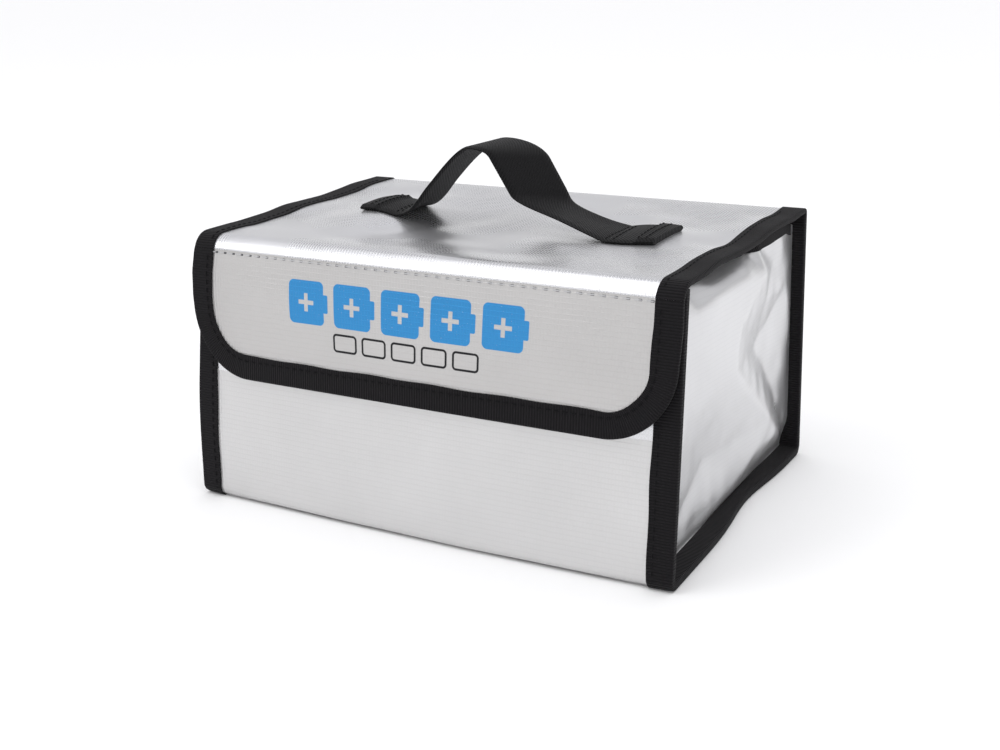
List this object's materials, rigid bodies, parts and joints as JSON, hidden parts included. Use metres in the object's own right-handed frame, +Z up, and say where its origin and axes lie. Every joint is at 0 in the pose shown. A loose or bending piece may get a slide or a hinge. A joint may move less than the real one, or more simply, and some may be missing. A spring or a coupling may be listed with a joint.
{
  "type": "fire-proof battery storage bag",
  "caption": "Box-shaped silver coated-cloth bag with black bound edges, a fold-back lid, a front closure flap with hook-and-loop tape and a webbing carry handle.",
  "frame": {"origin": "centre of the base, on the surface that the bag stands on", "axes": "+X along the bag's length, -Y out of the front with the flap, +Z up"},
  "size_m": [0.215, 0.1524, 0.1442],
  "materials": {
    "shell_cloth": "satin",
    "smooth_cloth": "satin",
    "lining_cloth": "matte",
    "edging_tape": "matte",
    "closure_tape": "matte",
    "webbing": "satin",
    "thread": "matte"
  },
  "bodies": {
    "bag": {"shell_wrap": "shell_cloth", "front_yoke": "smooth_cloth", "shell_lining": "lining_cloth", "left_gusset": "shell_cloth", "right_gusset": "shell_cloth", "left_gusset_lining": "lining_cloth", "right_gusset_lining": "lining_cloth", "left_body_binding": "edging_tape", "right_body_binding": "edging_tape", "left_mouth_binding": "edging_tape", "right_mouth_binding": "edging_tape", "front_mouth_binding": "edging_tape", "loop_strip": "closure_tape", "yoke_stitches": "thread"},
    "lid": {"lid_panel": "smooth_cloth", "lid_lining": "lining_cloth", "lid_left_binding": "edging_tape", "lid_right_binding": "edging_tape", "left_handle_anchor": "webbing", "right_handle_anchor": "webbing", "handle_stitches": "thread"},
    "flap": {"flap_panel": "shell_cloth", "flap_lining": "lining_cloth", "flap_binding": "edging_tape", "hook_strip": "closure_tape", "flap_seam_stitches": "thread"},
    "handle": {"handle_grip": "webbing"}
  },
  "joints": [
    {"name": "lid_fold", "type": "hinge", "parent": "bag", "child": "lid", "pos_m": [0, 0.0705, 0.112], "axis": [-1, 0, 0], "range_deg": [0, 200]},
    {"name": "flap_fold", "type": "hinge", "parent": "lid", "child": "flap", "pos_m": [0, -0.07098, 0.1064], "axis": [-1, 0, 0], "range_deg": [0, 120]},
    {"name": "handle_sway", "type": "hinge", "parent": "lid", "child": "handle", "pos_m": [0, -0.003, 0.1194], "axis": [1, 0, 0], "range_deg": [-40, 40], "stiffness_Nm_per_rad": 0.02}
  ]
}
